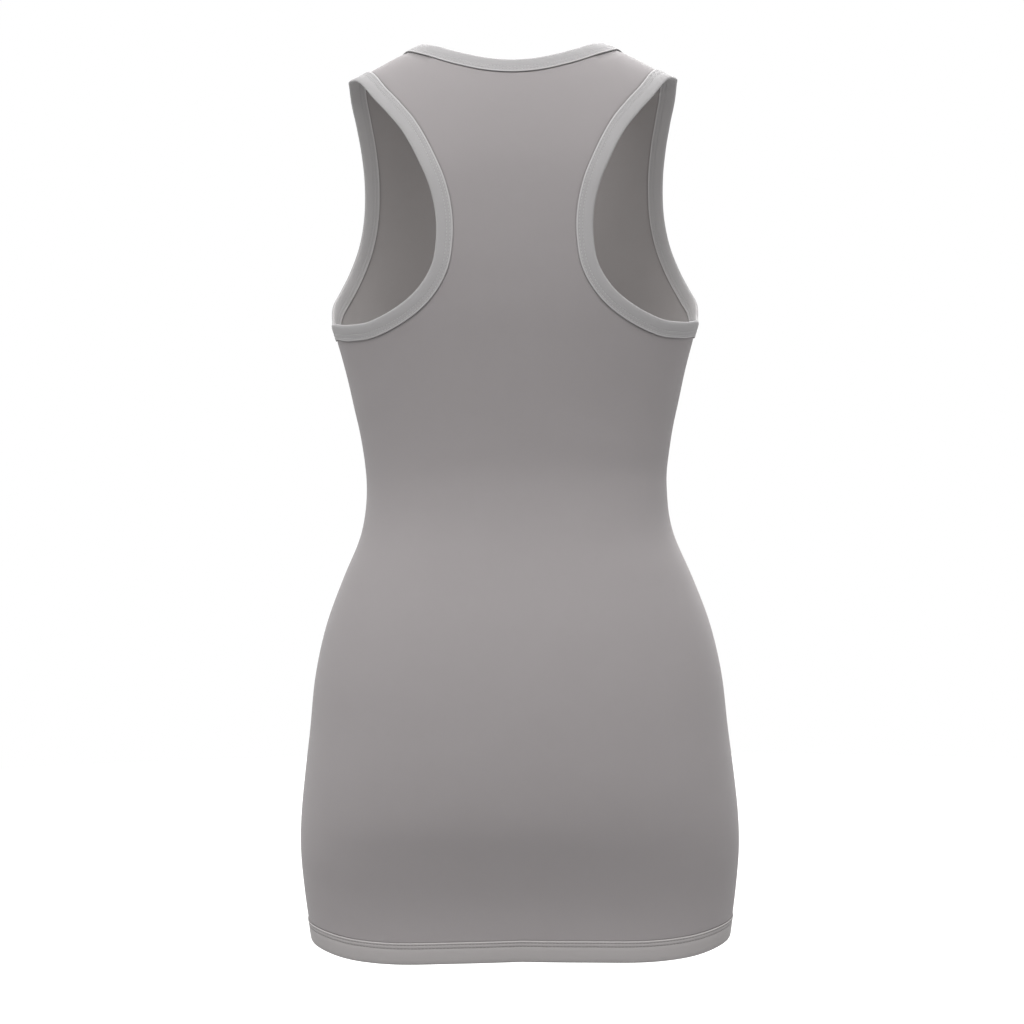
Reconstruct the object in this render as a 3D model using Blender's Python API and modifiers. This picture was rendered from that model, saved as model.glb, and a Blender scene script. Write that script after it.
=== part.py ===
"""Sleeveless racerback mini dress in fine knit, in the hollow shape it has when worn.

Metres, +Z up. The wearer faces -Y, so the back panel is on the +Y side and the wearer's left is +X.
The origin is the middle of the shoulder line: height 0 is where the neckline crosses the shoulder
seam, and y = 0 is the plane of the shoulder and side seams. Each panel is half a cloth, lofted on
the worn form, mirrored at the centre and given its wall inwards. The bindings and the hem band
are swept along the edges of the panels.
"""
import math
from collections import namedtuple

import bmesh
import bpy
import numpy as np
from mathutils import Vector

# Cloth
WALL = 0.0012
SEAM_GAP = 0.0003
SEAM_STRIP = 0.0015
BINDING_WIDTH = 0.014
HEM_WIDTH = 0.018
SHOULDER_EASE = 0.22
EASE_REACH = 0.050
CREASE_ANGLE = math.radians(40)

# Lengths down from the shoulder line
UNDERARM = -0.256
HEM_EDGE = -0.792
HEM_SEAM = HEM_EDGE + HEM_WIDTH + SEAM_GAP

# Horizontal sections of the worn form. The powers square the oval off: 2 is an ellipse.
Section = namedtuple("Section", "height half_width back front back_power front_power")
SECTIONS = (
    Section(-0.792, 0.1862, 0.1080, 0.0980, 2.70, 2.50),
    Section(-0.770, 0.1898, 0.1068, 0.0990, 2.60, 2.50),
    Section(-0.742, 0.1933, 0.1095, 0.1000, 2.60, 2.50),
    Section(-0.710, 0.1958, 0.1180, 0.1010, 2.60, 2.50),
    Section(-0.680, 0.1950, 0.1270, 0.1030, 2.55, 2.50),
    Section(-0.645, 0.1916, 0.1315, 0.1060, 2.50, 2.45),
    Section(-0.605, 0.1868, 0.1305, 0.1100, 2.45, 2.40),
    Section(-0.555, 0.1815, 0.1240, 0.1130, 2.40, 2.40),
    Section(-0.510, 0.1713, 0.1130, 0.1120, 2.35, 2.35),
    Section(-0.470, 0.1565, 0.0990, 0.1080, 2.30, 2.30),
    Section(-0.428, 0.1393, 0.0850, 0.1030, 2.25, 2.25),
    Section(-0.385, 0.1346, 0.0785, 0.1010, 2.20, 2.20),
    Section(-0.347, 0.1390, 0.0810, 0.1050, 2.20, 2.20),
    Section(-0.311, 0.1465, 0.0865, 0.1140, 2.20, 2.20),
    Section(-0.275, 0.1550, 0.0930, 0.1240, 2.25, 2.20),
    Section(-0.240, 0.1655, 0.0995, 0.1270, 2.30, 2.20),
    Section(-0.220, 0.1735, 0.1020, 0.1245, 2.35, 2.20),
    Section(-0.190, 0.1825, 0.1045, 0.1185, 2.40, 2.20),
    Section(-0.130, 0.1880, 0.1040, 0.1040, 2.45, 2.20),
    Section(-0.060, 0.1880, 0.0960, 0.0900, 2.40, 2.20),
    Section(0.000, 0.1850, 0.0880, 0.0790, 2.30, 2.20),
    Section(0.060, 0.1800, 0.0810, 0.0700, 2.20, 2.20),
)

# The shoulder line seen from behind, and how far below it each side reaches its full depth
Shoulder = namedtuple("Shoulder", "x height")
SHOULDER_LINE = (
    Shoulder(-0.040, 0.0225),
    Shoulder(0.000, 0.0280),
    Shoulder(0.040, 0.0225),
    Shoulder(0.070, 0.0125),
    Shoulder(0.0985, 0.0000),
    Shoulder(0.130, -0.0160),
    Shoulder(0.150, -0.0262),
    Shoulder(0.175, -0.0400),
    Shoulder(0.200, -0.0560),
)
NECK_POINT = 0.0985
SHOULDER_POINT = 0.130
BACK, FRONT = 1, -1
SHOULDER_ROLL = {BACK: 0.150, FRONT: 0.170}

# Soft fullness of the front, one for each side
Fullness = namedtuple("Fullness", "x height out wide high")
CHEST = Fullness(x=0.084, height=-0.262, out=0.009, wide=0.046, high=0.052)

# Cut edges of the left half, from the shoulder seam: x and height on the form
Edge = namedtuple("Edge", "x height")
BACK_NECK = (
    Edge(0.0985, 0.0000),
    Edge(0.0865, -0.0040),
    Edge(0.0725, -0.0114),
    Edge(0.0544, -0.0201),
    Edge(0.0368, -0.0262),
    Edge(0.0190, -0.0303),
    Edge(0.0000, -0.0318),
)
FRONT_NECK = (
    Edge(0.0985, 0.000),
    Edge(0.1035, -0.013),
    Edge(0.1030, -0.032),
    Edge(0.0960, -0.058),
    Edge(0.0800, -0.081),
    Edge(0.0480, -0.101),
    Edge(0.0000, -0.109),
)
BACK_ARMHOLE = (
    Edge(0.1300, -0.0160),
    Edge(0.1135, -0.0373),
    Edge(0.0982, -0.0567),
    Edge(0.0845, -0.0754),
    Edge(0.0697, -0.1036),
    Edge(0.0589, -0.1301),
    Edge(0.0534, -0.1557),
    Edge(0.0531, -0.1811),
    Edge(0.0581, -0.2062),
    Edge(0.0741, -0.2309),
    Edge(0.0964, -0.2479),
    Edge(0.1233, -0.2592),
    Edge(0.1421, -0.2603),
)
FRONT_ARMHOLE = (
    Edge(0.1300, -0.0160),
    Edge(0.1354, -0.0322),
    Edge(0.1319, -0.0495),
    Edge(0.1283, -0.0742),
    Edge(0.1264, -0.1017),
    Edge(0.1284, -0.1373),
    Edge(0.1343, -0.1649),
    Edge(0.1450, -0.1937),
    Edge(0.1540, -0.2137),
    Edge(0.1604, -0.2300),
    Edge(0.1611, -0.2490),
)

# The hem line all round: from the middle, 0, to the side seam, 1, and how far it is lifted
Lift = namedtuple("Lift", "share lift")
HEM_LINE = (
    Lift(0.00, 0.0000),
    Lift(0.25, -0.0016),
    Lift(0.45, -0.0034),
    Lift(0.60, -0.0026),
    Lift(0.78, 0.0012),
    Lift(1.00, 0.0030),
)

# A panel's cut. The turns are the edge points where a row of the mesh meets the edge:
# neck_turn and strap_turn end the strap, and body_turn ends the yoke.
Cut = namedtuple("Cut", "side neck armhole neck_turn strap_turn body_turn"
                        " inner strap outer yoke_rows strap_rows")
BACK_CUT = Cut(BACK, BACK_NECK, BACK_ARMHOLE, neck_turn=2, strap_turn=2, body_turn=9,
               inner=6, strap=3, outer=11, yoke_rows=14, strap_rows=4)
FRONT_CUT = Cut(FRONT, FRONT_NECK, FRONT_ARMHOLE, neck_turn=4, strap_turn=4, body_turn=8,
                inner=7, strap=5, outer=6, yoke_rows=8, strap_rows=8)
BODY_ROWS = 20
UNDERARM_REACH = 0.070
STRAP_LENGTH = 0.060
CURVE_POINTS = 240

# Folded strips in section: across the strip as a share of its width, and out from the panel's face
Strip = namedtuple("Strip", "across out")
STRIP_SECTION = (
    Strip(0.00, 0.0002),
    Strip(0.30, 0.0005),
    Strip(0.75, 0.0005),
    Strip(0.96, 0.0001),
    Strip(1.00, -0.0006),
    Strip(0.95, -0.0014),
    Strip(0.60, -0.0018),
    Strip(0.00, -0.0016),
)

# Finishes
Finish = namedtuple("Finish", "colour roughness metallic")
PANEL_KNIT = Finish((0.285, 0.273, 0.269, 1.0), roughness=0.88, metallic=0.0)
BINDING_KNIT = Finish((0.385, 0.376, 0.378, 1.0), roughness=0.80, metallic=0.0)
HEM_KNIT = Finish((0.295, 0.283, 0.279, 1.0), roughness=0.85, metallic=0.0)


def smooth(at, knots, values):
    """Read a smooth curve through the knots, whose slopes are averaged from both sides."""
    at = np.asarray(at, float)
    knots = np.asarray(knots, float)
    values = np.asarray(values, float)
    steps = np.diff(values) / np.diff(knots)
    slopes = np.concatenate([steps[:1], (steps[1:] + steps[:-1]) / 2, steps[-1:]])
    i = np.clip(np.searchsorted(knots, at) - 1, 0, len(knots) - 2)
    gap = knots[i + 1] - knots[i]
    t = (at - knots[i]) / gap
    start = (2 * t**3 - 3 * t**2 + 1) * values[i] + (t**3 - 2 * t**2 + t) * gap * slopes[i]
    end = (-2 * t**3 + 3 * t**2) * values[i + 1] + (t**3 - t**2) * gap * slopes[i + 1]
    return start + end


def section_value(name, height):
    """One dimension of the form's section at a height."""
    heights = [section.height for section in SECTIONS]
    return smooth(height, heights, [getattr(section, name) for section in SECTIONS])


def shoulder_height(x):
    """The height of the shoulder line at x."""
    knots = [point.x for point in SHOULDER_LINE]
    return smooth(np.abs(x), knots, [point.height for point in SHOULDER_LINE])


def depth(side, x, height):
    """How far the form stands out from the plane of the seams, at x and a height."""
    part = "back" if side == BACK else "front"
    width = section_value("half_width", height)
    power = section_value(part + "_power", height)
    across = np.clip(np.abs(x) / width, 0.0, 1.0)
    oval = section_value(part, height) * (1 - across**power) ** (1 / power)
    drop = np.clip((shoulder_height(x) - height) / SHOULDER_ROLL[side], 0.0, 1.0)
    roll = np.sqrt(1 - (1 - drop) ** 2)
    out = oval * roll
    if side == FRONT:
        near = ((np.abs(x) - CHEST.x) / CHEST.wide) ** 2 + ((height - CHEST.height) / CHEST.high) ** 2
        out = out + CHEST.out * np.exp(-near) * (1 - across**power)
    return out


def form_point(side, x, height):
    """A point of the panel's outer face, kept half a seam gap from the plane of the seams."""
    return (float(x), side * max(float(depth(side, x, height)), SEAM_GAP / 2), float(height))


def roll_of(side, x, height):
    """The angle that a point has turned down from the shoulder line, straight on past a quarter."""
    drop = (shoulder_height(x) - height) / SHOULDER_ROLL[side]
    if drop < 1:
        return math.acos(min(1.0, max(0.0, 1 - drop)))
    return math.pi / 2 + drop - 1


def height_of(side, x, roll):
    """The height of a point that has turned down from the shoulder line by this angle."""
    drop = 1 - math.cos(roll) if roll < math.pi / 2 else 1 + roll - math.pi / 2
    return float(shoulder_height(x)) - SHOULDER_ROLL[side] * drop


def rolled_point(side, x, roll):
    """A point of the panel's outer face, from x and the angle turned down from the shoulder."""
    return form_point(side, x, height_of(side, x, roll))


def lengths(points):
    """Running length along a line of points, from 0."""
    steps = np.linalg.norm(np.diff(points, axis=0), axis=1)
    return np.concatenate([[0.0], np.cumsum(steps)])


def walk(side, edge, first, last, shares):
    """Points (x, roll) at shares of the length of a cut edge, from one of its points to another."""
    knots = np.array([(point.x, roll_of(side, point.x, point.height)) for point in edge])
    run = lengths(np.array([rolled_point(side, x, roll) for x, roll in knots]))
    fine = np.linspace(run[first], run[last], CURVE_POINTS)
    line = np.column_stack([smooth(fine, run, knots[:, 0]), smooth(fine, run, knots[:, 1])])
    line[-1] = knots[last]
    done = lengths(np.array([rolled_point(side, x, roll) for x, roll in line]))
    at = np.asarray(shares) * done[-1]
    return np.column_stack([np.interp(at, done, line[:, k]) for k in (0, 1)])


def even(count):
    """Equal steps from 0 to 1."""
    return np.linspace(0.0, 1.0, count + 1)


def ending_in_strip(count, length):
    """Even shares with one narrow step at the end, so that the wall stands square at a seam."""
    strip = SEAM_STRIP / length
    return np.concatenate([even(count) * (1 - strip), [1.0]])


def between(bottom, top, left, right, heights):
    """Fill a patch from its four sides, with its rows at the given shares of the height."""
    u = even(len(bottom) - 1)[None, :, None]
    v = np.asarray(heights)[:, None, None]
    sides = (1 - v) * bottom[None] + v * top[None] + (1 - u) * left[:, None] + u * right[:, None]
    corners = (1 - v) * ((1 - u) * bottom[0] + u * bottom[-1]) + v * ((1 - u) * top[0] + u * top[-1])
    return sides - corners


def quarter(side, height):
    """The section's curve from the centre to the side seam: x values and running shares."""
    width = float(section_value("half_width", height))
    x = width * np.sin(np.linspace(0.0, math.pi / 2, CURVE_POINTS))
    run = lengths(np.column_stack([x, depth(side, x, height)]))
    return x, run


def x_at_share(side, height, share):
    """Where a section has run this share of its length from the centre to the side seam."""
    x, run = quarter(side, height)
    return float(np.interp(share * run[-1], run, x))


def share_at_x(side, height, at):
    """The share of its length that a section has run from the centre to x."""
    x, run = quarter(side, height)
    return float(np.interp(at, x, run)) / run[-1]


def body_rows(cut, top):
    """Rows from the hem up to the top edge of the body: each column keeps its share of the girth."""
    shares = [share_at_x(cut.side, height, x) for x, height in top[:-1]] + [1.0]
    lifts = smooth(shares, [point.share for point in HEM_LINE], [point.lift for point in HEM_LINE])
    rows = []
    for climb in even(BODY_ROWS):
        heights = [(1 - climb) * (HEM_SEAM + lift) + climb * height
                   for lift, (_, height) in zip(lifts, top)]
        rows.append([form_point(cut.side, x_at_share(cut.side, height, share), height)
                     for share, height in zip(shares, heights)])
    return rows


def raise_rows(mesh, first, points, side):
    """Add rows of vertices above the first, with a face in each square, facing outwards."""
    rows = [first]
    for line in points:
        row = [mesh.verts.new(point) for point in line]
        for i in range(len(row) - 1):
            corners = [rows[-1][i], rows[-1][i + 1], row[i + 1], row[i]]
            mesh.faces.new(corners if side == FRONT else corners[::-1])
        rows.append(row)
    return rows


def half_panel(cut):
    """The left half of a panel, and its vertices along the neck, armhole and hem."""
    side = cut.side
    centre = Edge(-cut.neck[-2].x, cut.neck[-2].height)
    neck = cut.neck + (centre,)
    side_x = float(section_value("half_width", UNDERARM))
    armhole = cut.armhole + (Edge(side_x, UNDERARM),)
    last = len(armhole) - 1

    outer = walk(side, armhole, cut.body_turn, last, ending_in_strip(cut.outer - 1, UNDERARM_REACH))
    turn_x, turn_roll = outer[0]
    turn_height = height_of(side, turn_x, turn_roll)
    turn_share = share_at_x(side, turn_height, turn_x)
    count = cut.inner + cut.strap
    top = [(x_at_share(side, turn_height, share * turn_share), turn_height)
           for share in even(count)[:-1]]
    top += [(x, height_of(side, x, roll)) for x, roll in outer[:-1]] + [(side_x, UNDERARM)]

    mesh = bmesh.new()
    points = body_rows(cut, top)
    hem = [mesh.verts.new(point) for point in points[0]]
    body = raise_rows(mesh, hem, points[1:], side)

    climb = even(cut.yoke_rows)
    bottom = np.array([(x, roll_of(side, x, height)) for x, height in top[:count + 1]])
    along_neck = walk(side, neck, cut.neck_turn, len(cut.neck) - 1, even(cut.inner))[::-1]
    neck_end = along_neck[-1]
    arm_side = walk(side, armhole, cut.strap_turn, cut.body_turn, climb)[::-1]
    across = neck_end + (arm_side[-1] - neck_end) * even(cut.strap)[1:, None]
    centre_line = bottom[0] + (along_neck[0] - bottom[0]) * climb[:, None]
    yoke = between(bottom, np.vstack([along_neck, across]), centre_line, arm_side, climb)
    rows = [[rolled_point(side, x, roll) for x, roll in row] for row in yoke[1:]]
    yoke_rows = raise_rows(mesh, body[-1][:count + 1], rows, side)

    climb = ending_in_strip(cut.strap_rows, STRAP_LENGTH)
    neck_side = walk(side, neck, 0, cut.neck_turn, 1 - climb[::-1])[::-1]
    arm_side = walk(side, armhole, 0, cut.strap_turn, 1 - climb[::-1])[::-1]
    seam_x = np.linspace(NECK_POINT, SHOULDER_POINT, cut.strap + 1)
    seam = np.column_stack([seam_x, np.zeros(cut.strap + 1)])
    strap = between(np.vstack([neck_end[None], across]), seam, neck_side, arm_side, climb)
    rows = [[rolled_point(side, x, roll) for x, roll in row] for row in strap[1:]]
    strap_rows = raise_rows(mesh, yoke_rows[-1][cut.inner:], rows, side)

    mesh.normal_update()
    neck_line = yoke_rows[-1][:cut.inner] + [row[0] for row in strap_rows]
    arm_line = [row[-1] for row in strap_rows[::-1]] + [row[-1] for row in yoke_rows[-2::-1]]
    arm_line += body[-1][count + 1:]
    return mesh, neck_line, arm_line, hem


Station = namedtuple("Station", "point normal ease")


def stations(line):
    """Where a strip is sewn on: the edge's points and the directions out of the cloth."""
    found = []
    for vertex in line:
        normal = vertex.normal.copy()
        if vertex.co.x < SEAM_GAP / 2:
            normal.x = 0.0
        found.append(Station(vertex.co.copy(), normal.normalized(), 1.0))
    return found


def joined(first, second):
    """One station in the middle of a seam, from the stations of the two panels beside it."""
    return Station((first.point + second.point) / 2, (first.normal + second.normal).normalized(), 1.0)


def eased(line):
    """The same stations, where the strip lies unstretched and so wider as it crosses the shoulder."""
    reach = [math.hypot(station.point.y, station.point.z - line[0].point.z) for station in line]
    near = [max(0.0, 1 - (distance / EASE_REACH) ** 2) for distance in reach]
    return [station._replace(ease=1 + SHOULDER_EASE * share) for station, share in zip(line, near)]


def flipped(line):
    """The same stations on the other side of the centre."""
    flip = Vector((-1, 1, 1))
    return [Station(station.point * flip, station.normal * flip, station.ease) for station in line]


def finish_material(name, finish):
    """A plain material with one finish."""
    material = bpy.data.materials.new(name)
    material.use_nodes = True
    shader = material.node_tree.nodes["Principled BSDF"]
    shader.inputs["Base Color"].default_value = finish.colour
    shader.inputs["Roughness"].default_value = finish.roughness
    shader.inputs["Metallic"].default_value = finish.metallic
    return material


def add_object(name, mesh, finish, collection):
    """A named object from a mesh under construction, smooth but for its folded edges."""
    data = bpy.data.meshes.new(name)
    mesh.to_mesh(data)
    mesh.free()
    data.materials.append(finish_material(name + "_knit", finish))
    data.shade_smooth()
    data.set_sharp_from_angle(angle=CREASE_ANGLE)
    piece = bpy.data.objects.new(name, data)
    collection.objects.link(piece)
    return piece


def add_panel(name, mesh, collection):
    """A whole panel from its left half: mirrored at the centre, with its wall inwards."""
    panel = add_object(name, mesh, PANEL_KNIT, collection)
    mirror = panel.modifiers.new("Fold line", "MIRROR")
    mirror.use_clip = True
    mirror.merge_threshold = SEAM_GAP / 3
    wall = panel.modifiers.new("Wall", "SOLIDIFY")
    wall.thickness = WALL
    wall.offset = -1
    wall.use_even_offset = True
    return panel


def add_strip(name, line, width, finish, collection):
    """A folded strip swept along a closed line of stations, a seam gap away from the cloth.

    The line runs so that the cloth is on its left, seen from outside."""
    mesh = bmesh.new()
    rings = []
    for i, station in enumerate(line):
        along = (line[(i + 1) % len(line)].point - line[i - 1].point).normalized()
        away = along.cross(station.normal).normalized()
        out = away.cross(along).normalized()
        ring = []
        for corner in STRIP_SECTION:
            reach = SEAM_GAP + corner.across * (width * station.ease - SEAM_GAP)
            ring.append(mesh.verts.new(station.point + away * reach + out * corner.out))
        rings.append(ring)
    corners = len(STRIP_SECTION)
    for i, ring in enumerate(rings):
        following = rings[(i + 1) % len(rings)]
        for k in range(corners):
            j = (k + 1) % corners
            mesh.faces.new([ring[k], following[k], following[j], ring[j]])
    bmesh.ops.recalc_face_normals(mesh, faces=mesh.faces)
    return add_object(name, mesh, finish, collection)


def build():
    """Cut the two panels, then bind their edges."""
    for leftover in list(bpy.data.objects):
        bpy.data.objects.remove(leftover, do_unlink=True)
    collection = bpy.data.collections.new("Racerback mini dress")
    bpy.context.scene.collection.children.link(collection)

    back, back_neck, back_arm, back_hem = half_panel(BACK_CUT)
    front, front_neck, front_arm, front_hem = half_panel(FRONT_CUT)
    back_neck, back_arm, back_hem = stations(back_neck), stations(back_arm), stations(back_hem)
    front_neck, front_arm, front_hem = stations(front_neck), stations(front_arm), stations(front_hem)

    shoulder = joined(back_neck[-1], front_neck[-1])
    left_neck = back_neck[1:-1] + [shoulder] + front_neck[-2:0:-1]
    neck = [back_neck[0]] + left_neck + [front_neck[0]] + flipped(left_neck[::-1])

    shoulder = joined(back_arm[0], front_arm[0])
    underarm = joined(back_arm[-1], front_arm[-1])
    left_arm = eased([shoulder] + back_arm[1:-1] + [underarm] + front_arm[-2:0:-1])

    side_seam = joined(back_hem[-1], front_hem[-1])
    left_hem = front_hem[1:-1] + [side_seam] + back_hem[-2:0:-1]
    hem = [front_hem[0]] + left_hem + [back_hem[0]] + flipped(left_hem[::-1])

    add_panel("back_panel", back, collection)
    add_panel("front_panel", front, collection)
    right_arm = flipped(left_arm[::-1])
    add_strip("neck_binding", neck, BINDING_WIDTH, BINDING_KNIT, collection)
    add_strip("left_armhole_binding", left_arm, BINDING_WIDTH, BINDING_KNIT, collection)
    add_strip("right_armhole_binding", right_arm, BINDING_WIDTH, BINDING_KNIT, collection)
    add_strip("hem_band", hem, HEM_WIDTH, HEM_KNIT, collection)


build()
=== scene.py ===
import math
from collections import namedtuple

import bmesh
import bpy
import numpy as np
from mathutils import Matrix, Vector


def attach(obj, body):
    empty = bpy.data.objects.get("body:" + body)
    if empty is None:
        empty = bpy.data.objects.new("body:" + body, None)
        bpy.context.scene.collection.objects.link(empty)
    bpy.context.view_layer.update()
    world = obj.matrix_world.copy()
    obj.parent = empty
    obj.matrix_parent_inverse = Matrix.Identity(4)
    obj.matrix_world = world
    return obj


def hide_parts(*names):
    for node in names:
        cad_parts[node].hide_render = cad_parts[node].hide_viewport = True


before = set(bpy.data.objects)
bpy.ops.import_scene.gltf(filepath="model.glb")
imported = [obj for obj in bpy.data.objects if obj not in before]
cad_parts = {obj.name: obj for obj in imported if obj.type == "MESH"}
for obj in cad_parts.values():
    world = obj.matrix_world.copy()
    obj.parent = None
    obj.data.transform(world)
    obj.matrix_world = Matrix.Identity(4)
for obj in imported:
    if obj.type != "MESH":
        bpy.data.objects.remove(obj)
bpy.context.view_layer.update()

# Sleeveless racerback mini dress, worn by nobody. Metres. The back is on the +Y side, the wearer's
# left is +X, and height 0 is the neck end of the shoulder seams. The shells lie on the same form as
# the solids, so the tables of the form and of the cut edges are the part's own, apart from the ends
# of the straps, where the armholes meet the shoulder seams 5 mm further out than in the part.

# Cloth
WALL = 0.0008
SEAM_BORDER = 0.0016
SEAM_PINCH = 0.0005
HEM_WIDTH = 0.018
HEM_REACH = 0.010
HEM_PINCH_SHARE = 0.3
# How much of the painted seam shadow the hem's edge gets
HEM_SEAM_SHADE_SHARE = 0.15
SHOULDER_EASE = 0.05
EASE_REACH = 0.050
UNDERARM = -0.256
HEM_EDGE = -0.792
HEM_SEAM = HEM_EDGE + HEM_WIDTH
ON_CENTRE = 0.00001

Section = namedtuple("Section", "height half_width back front back_power front_power")
SECTIONS = (
    Section(-0.792, 0.1862, 0.1080, 0.0980, 2.70, 2.50),
    Section(-0.770, 0.1898, 0.1068, 0.0990, 2.60, 2.50),
    Section(-0.742, 0.1933, 0.1095, 0.1000, 2.60, 2.50),
    Section(-0.710, 0.1958, 0.1180, 0.1010, 2.60, 2.50),
    Section(-0.680, 0.1950, 0.1270, 0.1030, 2.55, 2.50),
    Section(-0.645, 0.1916, 0.1315, 0.1060, 2.50, 2.45),
    Section(-0.605, 0.1868, 0.1305, 0.1100, 2.45, 2.40),
    Section(-0.555, 0.1815, 0.1240, 0.1130, 2.40, 2.40),
    Section(-0.510, 0.1713, 0.1130, 0.1120, 2.35, 2.35),
    Section(-0.470, 0.1565, 0.0990, 0.1080, 2.30, 2.30),
    Section(-0.428, 0.1393, 0.0850, 0.1030, 2.25, 2.25),
    Section(-0.385, 0.1346, 0.0785, 0.1010, 2.20, 2.20),
    Section(-0.347, 0.1390, 0.0810, 0.1050, 2.20, 2.20),
    Section(-0.311, 0.1465, 0.0865, 0.1140, 2.20, 2.20),
    Section(-0.275, 0.1550, 0.0930, 0.1240, 2.25, 2.20),
    Section(-0.240, 0.1655, 0.0995, 0.1270, 2.30, 2.20),
    Section(-0.220, 0.1735, 0.1020, 0.1245, 2.35, 2.20),
    Section(-0.190, 0.1825, 0.1045, 0.1185, 2.40, 2.20),
    Section(-0.130, 0.1880, 0.1040, 0.1040, 2.45, 2.20),
    Section(-0.060, 0.1880, 0.0960, 0.0900, 2.40, 2.20),
    Section(0.000, 0.1850, 0.0880, 0.0790, 2.30, 2.20),
    Section(0.060, 0.1800, 0.0810, 0.0700, 2.20, 2.20),
)

Shoulder = namedtuple("Shoulder", "x height")
SHOULDER_LINE = (
    Shoulder(-0.040, 0.0225),
    Shoulder(0.000, 0.0280),
    Shoulder(0.040, 0.0225),
    Shoulder(0.070, 0.0125),
    Shoulder(0.0985, 0.0000),
    Shoulder(0.130, -0.0160),
    Shoulder(0.150, -0.0262),
    Shoulder(0.175, -0.0400),
    Shoulder(0.200, -0.0560),
)
NECK_POINT = 0.0985
SHOULDER_POINT = 0.135
BACK, FRONT = 1, -1
SHOULDER_ROLL = {BACK: 0.150, FRONT: 0.170}

Fullness = namedtuple("Fullness", "x height out wide high")
CHEST = Fullness(x=0.084, height=-0.262, out=0.009, wide=0.046, high=0.052)

Edge = namedtuple("Edge", "x height")
BACK_NECK = (
    Edge(0.0985, 0.0000),
    Edge(0.0865, -0.0040),
    Edge(0.0725, -0.0114),
    Edge(0.0544, -0.0201),
    Edge(0.0368, -0.0262),
    Edge(0.0190, -0.0303),
    Edge(0.0000, -0.0318),
)
FRONT_NECK = (
    Edge(0.0985, 0.000),
    Edge(0.1035, -0.013),
    Edge(0.1030, -0.032),
    Edge(0.0960, -0.058),
    Edge(0.0800, -0.081),
    Edge(0.0480, -0.101),
    Edge(0.0000, -0.109),
)
BACK_ARMHOLE = (
    Edge(0.1350, -0.0185),
    Edge(0.1135, -0.0373),
    Edge(0.0982, -0.0567),
    Edge(0.0845, -0.0754),
    Edge(0.0697, -0.1036),
    Edge(0.0589, -0.1301),
    Edge(0.0534, -0.1557),
    Edge(0.0531, -0.1811),
    Edge(0.0581, -0.2062),
    Edge(0.0741, -0.2309),
    Edge(0.0964, -0.2479),
    Edge(0.1233, -0.2592),
    Edge(0.1421, -0.2603),
)
FRONT_ARMHOLE = (
    Edge(0.1350, -0.0185),
    Edge(0.1345, -0.0322),
    Edge(0.1319, -0.0495),
    Edge(0.1283, -0.0742),
    Edge(0.1264, -0.1017),
    Edge(0.1284, -0.1373),
    Edge(0.1343, -0.1649),
    Edge(0.1450, -0.1937),
    Edge(0.1540, -0.2137),
    Edge(0.1604, -0.2300),
    Edge(0.1611, -0.2490),
)

Lift = namedtuple("Lift", "share lift")
HEM_LINE = (
    Lift(0.00, 0.0000),
    Lift(0.25, -0.0016),
    Lift(0.45, -0.0034),
    Lift(0.60, -0.0026),
    Lift(0.78, 0.0012),
    Lift(1.00, 0.0030),
)

Cut = namedtuple("Cut", "side neck armhole neck_turn strap_turn body_turn"
                        " inner strap outer yoke_rows strap_rows")
BACK_CUT = Cut(BACK, BACK_NECK, BACK_ARMHOLE, neck_turn=2, strap_turn=2, body_turn=9,
               inner=12, strap=7, outer=19, yoke_rows=30, strap_rows=8)
FRONT_CUT = Cut(FRONT, FRONT_NECK, FRONT_ARMHOLE, neck_turn=4, strap_turn=4, body_turn=8,
                inner=13, strap=8, outer=13, yoke_rows=20, strap_rows=16)
BODY_ROWS = 62
CURVE_POINTS = 240

# Rough sizes of the patches, which set how wide a share of each a seam's border takes
UNDERARM_REACH = {BACK: 0.100, FRONT: 0.045}
YOKE_LENGTH = 0.17
STRAP_LENGTH = 0.06
STRAP_FOOT = 0.040
STRAP_TOP = 0.035

# Soft creases, too slight to see straight on: where, which way each runs, its size and its height
Crease = namedtuple("Crease", "x height turn length width out")
BACK_CREASES = (
    Crease(-0.060, -0.352, 14, 0.085, 0.016, 0.0004),
    Crease(0.072, -0.366, -11, 0.070, 0.014, 0.0003),
    Crease(0.030, -0.398, 6, 0.110, 0.018, 0.0003),
    Crease(-0.048, -0.424, -9, 0.090, 0.017, 0.0004),
    Crease(0.085, -0.440, 16, 0.060, 0.015, 0.0003),
    Crease(-0.100, -0.395, 8, 0.040, 0.013, 0.0003),
    Crease(-0.110, -0.290, 38, 0.060, 0.016, 0.0003),
    Crease(0.118, -0.305, -34, 0.052, 0.015, 0.0003),
    Crease(0.012, -0.672, -4, 0.120, 0.022, 0.0003),
    Crease(-0.070, -0.694, 10, 0.075, 0.018, 0.0002),
    Crease(0.095, -0.676, -13, 0.070, 0.018, 0.0003),
    Crease(0.020, -0.215, 82, 0.090, 0.022, 0.0002),
)
FRONT_CREASES = (
    Crease(0.055, -0.345, -12, 0.090, 0.016, 0.0006),
    Crease(-0.068, -0.360, 15, 0.075, 0.015, 0.0006),
    Crease(-0.020, -0.390, -5, 0.120, 0.019, 0.0006),
    Crease(0.060, -0.415, 11, 0.080, 0.017, 0.0005),
    Crease(-0.092, -0.430, -14, 0.055, 0.015, 0.0005),
    Crease(0.112, -0.300, 36, 0.060, 0.017, 0.0006),
    Crease(-0.118, -0.308, -40, 0.055, 0.016, 0.0006),
    Crease(0.000, -0.255, 3, 0.070, 0.020, 0.0007),
    Crease(0.090, -0.170, 62, 0.075, 0.016, 0.0005),
    Crease(-0.094, -0.164, -58, 0.070, 0.016, 0.0005),
    Crease(0.040, -0.600, 20, 0.090, 0.022, 0.0004),
    Crease(-0.052, -0.612, -17, 0.085, 0.021, 0.0004),
)
CREASE_BOW = 0.12
CREASE_HOLLOW = 0.9

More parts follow.
